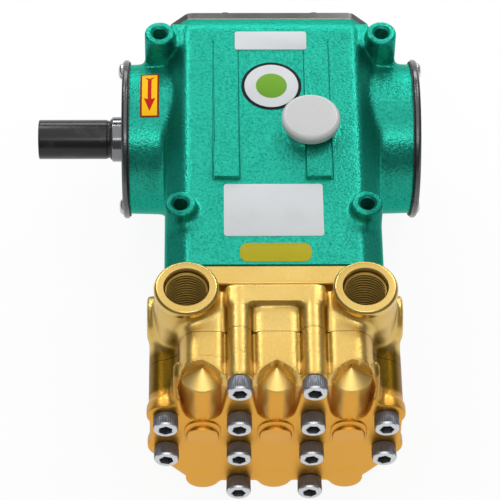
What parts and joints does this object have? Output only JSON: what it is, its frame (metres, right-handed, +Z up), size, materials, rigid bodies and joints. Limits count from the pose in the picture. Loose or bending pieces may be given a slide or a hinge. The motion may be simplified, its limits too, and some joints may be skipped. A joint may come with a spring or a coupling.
{
  "type": "pressure washer pump",
  "caption": "Belt or motor driven plunger pump: painted crankcase with side drive shaft and filler cap, brass manifold with top ports and a bolted valve head.",
  "frame": {"origin": "on the flat base, straight under the crank axis at the middle cylinder", "axes": "+Z up, +Y to the rear cover, -Y to the brass head, drive shaft along -X"},
  "size_m": [0.2303, 0.2874, 0.1256],
  "materials": {
    "teal_paint": "glossy hammered paint",
    "grey_plate": "satin",
    "gasket_paper": "matte",
    "level_glass": "clear",
    "black_steel": "black oxide",
    "bright_steel": "ground",
    "zinc_plate": "zinc plated",
    "black_rubber": "matte",
    "rod_alloy": "as cast",
    "white_ceramic": "polished",
    "packing_fabric": "matte",
    "cast_brass": "as cast, blasted",
    "white_plastic": "satin"
  },
  "bodies": {
    "frame": {"crankcase": "teal_paint", "rear_cover": "grey_plate", "rear_cover_gasket": "gasket_paper", "oil_level_glass": "level_glass", "oil_drain_plug": "black_steel", "drive_bearing_outer_ring": "bright_steel", "drive_bearing_cover": "zinc_plate", "blind_bearing_outer_ring": "bright_steel", "blind_bearing_cover": "zinc_plate", "shaft_seal": "black_rubber", "oil_seal_1": "black_rubber", "packing_1": "packing_fabric", "inlet_spring_1": "bright_steel", "discharge_spring_1": "bright_steel", "oil_seal_2": "black_rubber", "packing_2": "packing_fabric", "inlet_spring_2": "bright_steel", "discharge_spring_2": "bright_steel", "oil_seal_3": "black_rubber", "packing_3": "packing_fabric", "inlet_spring_3": "bright_steel", "discharge_spring_3": "bright_steel", "manifold": "cast_brass", "valve_head": "cast_brass", "head_bolt_01": "zinc_plate", "head_bolt_02": "zinc_plate", "head_bolt_03": "zinc_plate", "head_bolt_04": "zinc_plate", "head_bolt_05": "zinc_plate", "head_bolt_06": "zinc_plate", "head_bolt_07": "zinc_plate", "head_bolt_08": "zinc_plate", "head_bolt_09": "zinc_plate", "head_bolt_10": "zinc_plate", "head_bolt_11": "zinc_plate", "head_bolt_12": "zinc_plate"},
    "crankshaft": {"crankshaft": "black_steel", "drive_bearing_inner_ring": "bright_steel", "blind_bearing_inner_ring": "bright_steel"},
    "rod_1": {"connecting_rod_1": "rod_alloy", "wrist_pin_1": "bright_steel"},
    "plunger_1": {"crosshead_1": "bright_steel", "plunger_1": "white_ceramic"},
    "inlet_valve_1": {"inlet_valve_1": "bright_steel"},
    "discharge_valve_1": {"discharge_valve_1": "bright_steel"},
    "rod_2": {"connecting_rod_2": "rod_alloy", "wrist_pin_2": "bright_steel"},
    "plunger_2": {"crosshead_2": "bright_steel", "plunger_2": "white_ceramic"},
    "inlet_valve_2": {"inlet_valve_2": "bright_steel"},
    "discharge_valve_2": {"discharge_valve_2": "bright_steel"},
    "rod_3": {"connecting_rod_3": "rod_alloy", "wrist_pin_3": "bright_steel"},
    "plunger_3": {"crosshead_3": "bright_steel", "plunger_3": "white_ceramic"},
    "inlet_valve_3": {"inlet_valve_3": "bright_steel"},
    "discharge_valve_3": {"discharge_valve_3": "bright_steel"},
    "oil_cap": {"oil_cap": "white_plastic"}
  },
  "joints": [
    {"name": "crank_spin", "type": "hinge", "parent": "frame", "child": "crankshaft", "pos_m": [0, 0, 0.06], "axis": [1, 0, 0], "continuous": true},
    {"name": "rod_1_pivot", "type": "hinge", "parent": "crankshaft", "child": "rod_1", "pos_m": [-0.0412, -0.006, 0.06], "axis": [1, 0, 0], "continuous": true},
    {"name": "plunger_1_stroke", "type": "slide", "parent": "frame", "child": "plunger_1", "axis": [0, -1, 0], "range_m": [-0.012, 0]},
    {"name": "rod_2_pivot", "type": "hinge", "parent": "crankshaft", "child": "rod_2", "pos_m": [0, 0.003, 0.0652], "axis": [1, 0, 0], "continuous": true},
    {"name": "plunger_2_stroke", "type": "slide", "parent": "frame", "child": "plunger_2", "axis": [0, -1, 0], "range_m": [-0.003, 0.009]},
    {"name": "rod_3_pivot", "type": "hinge", "parent": "crankshaft", "child": "rod_3", "pos_m": [0.0412, 0.003, 0.0548], "axis": [1, 0, 0], "continuous": true},
    {"name": "plunger_3_stroke", "type": "slide", "parent": "frame", "child": "plunger_3", "axis": [0, -1, 0], "range_m": [-0.003, 0.009]},
    {"name": "inlet_valve_1_lift", "type": "slide", "parent": "frame", "child": "inlet_valve_1", "axis": [0, -1, 0], "range_m": [0, 0.003], "stiffness_N_per_m": 400, "springref_m": -0.002, "deforming": ["inlet_spring_1"]},
    {"name": "discharge_valve_1_lift", "type": "slide", "parent": "frame", "child": "discharge_valve_1", "axis": [0, 1, 0], "range_m": [0, 0.003], "stiffness_N_per_m": 400, "springref_m": -0.002, "deforming": ["discharge_spring_1"]},
    {"name": "inlet_valve_2_lift", "type": "slide", "parent": "frame", "child": "inlet_valve_2", "axis": [0, -1, 0], "range_m": [0, 0.003], "stiffness_N_per_m": 400, "springref_m": -0.002, "deforming": ["inlet_spring_2"]},
    {"name": "discharge_valve_2_lift", "type": "slide", "parent": "frame", "child": "discharge_valve_2", "axis": [0, 1, 0], "range_m": [0, 0.003], "stiffness_N_per_m": 400, "springref_m": -0.002, "deforming": ["discharge_spring_2"]},
    {"name": "inlet_valve_3_lift", "type": "slide", "parent": "frame", "child": "inlet_valve_3", "axis": [0, -1, 0], "range_m": [0, 0.003], "stiffness_N_per_m": 400, "springref_m": -0.002, "deforming": ["inlet_spring_3"]},
    {"name": "discharge_valve_3_lift", "type": "slide", "parent": "frame", "child": "discharge_valve_3", "axis": [0, 1, 0], "range_m": [0, 0.003], "stiffness_N_per_m": 400, "springref_m": -0.002, "deforming": ["discharge_spring_3"]},
    {"name": "oil_cap_lift", "type": "slide", "parent": "frame", "child": "oil_cap", "axis": [0, 0, 1], "range_m": [0, 0.03]}
  ],
  "couplings": [
    {"joint": "rod_1_pivot", "follows": "crank_spin", "ratio": -1},
    {"joint": "rod_2_pivot", "follows": "crank_spin", "ratio": -1},
    {"joint": "rod_3_pivot", "follows": "crank_spin", "ratio": -1}
  ]
}
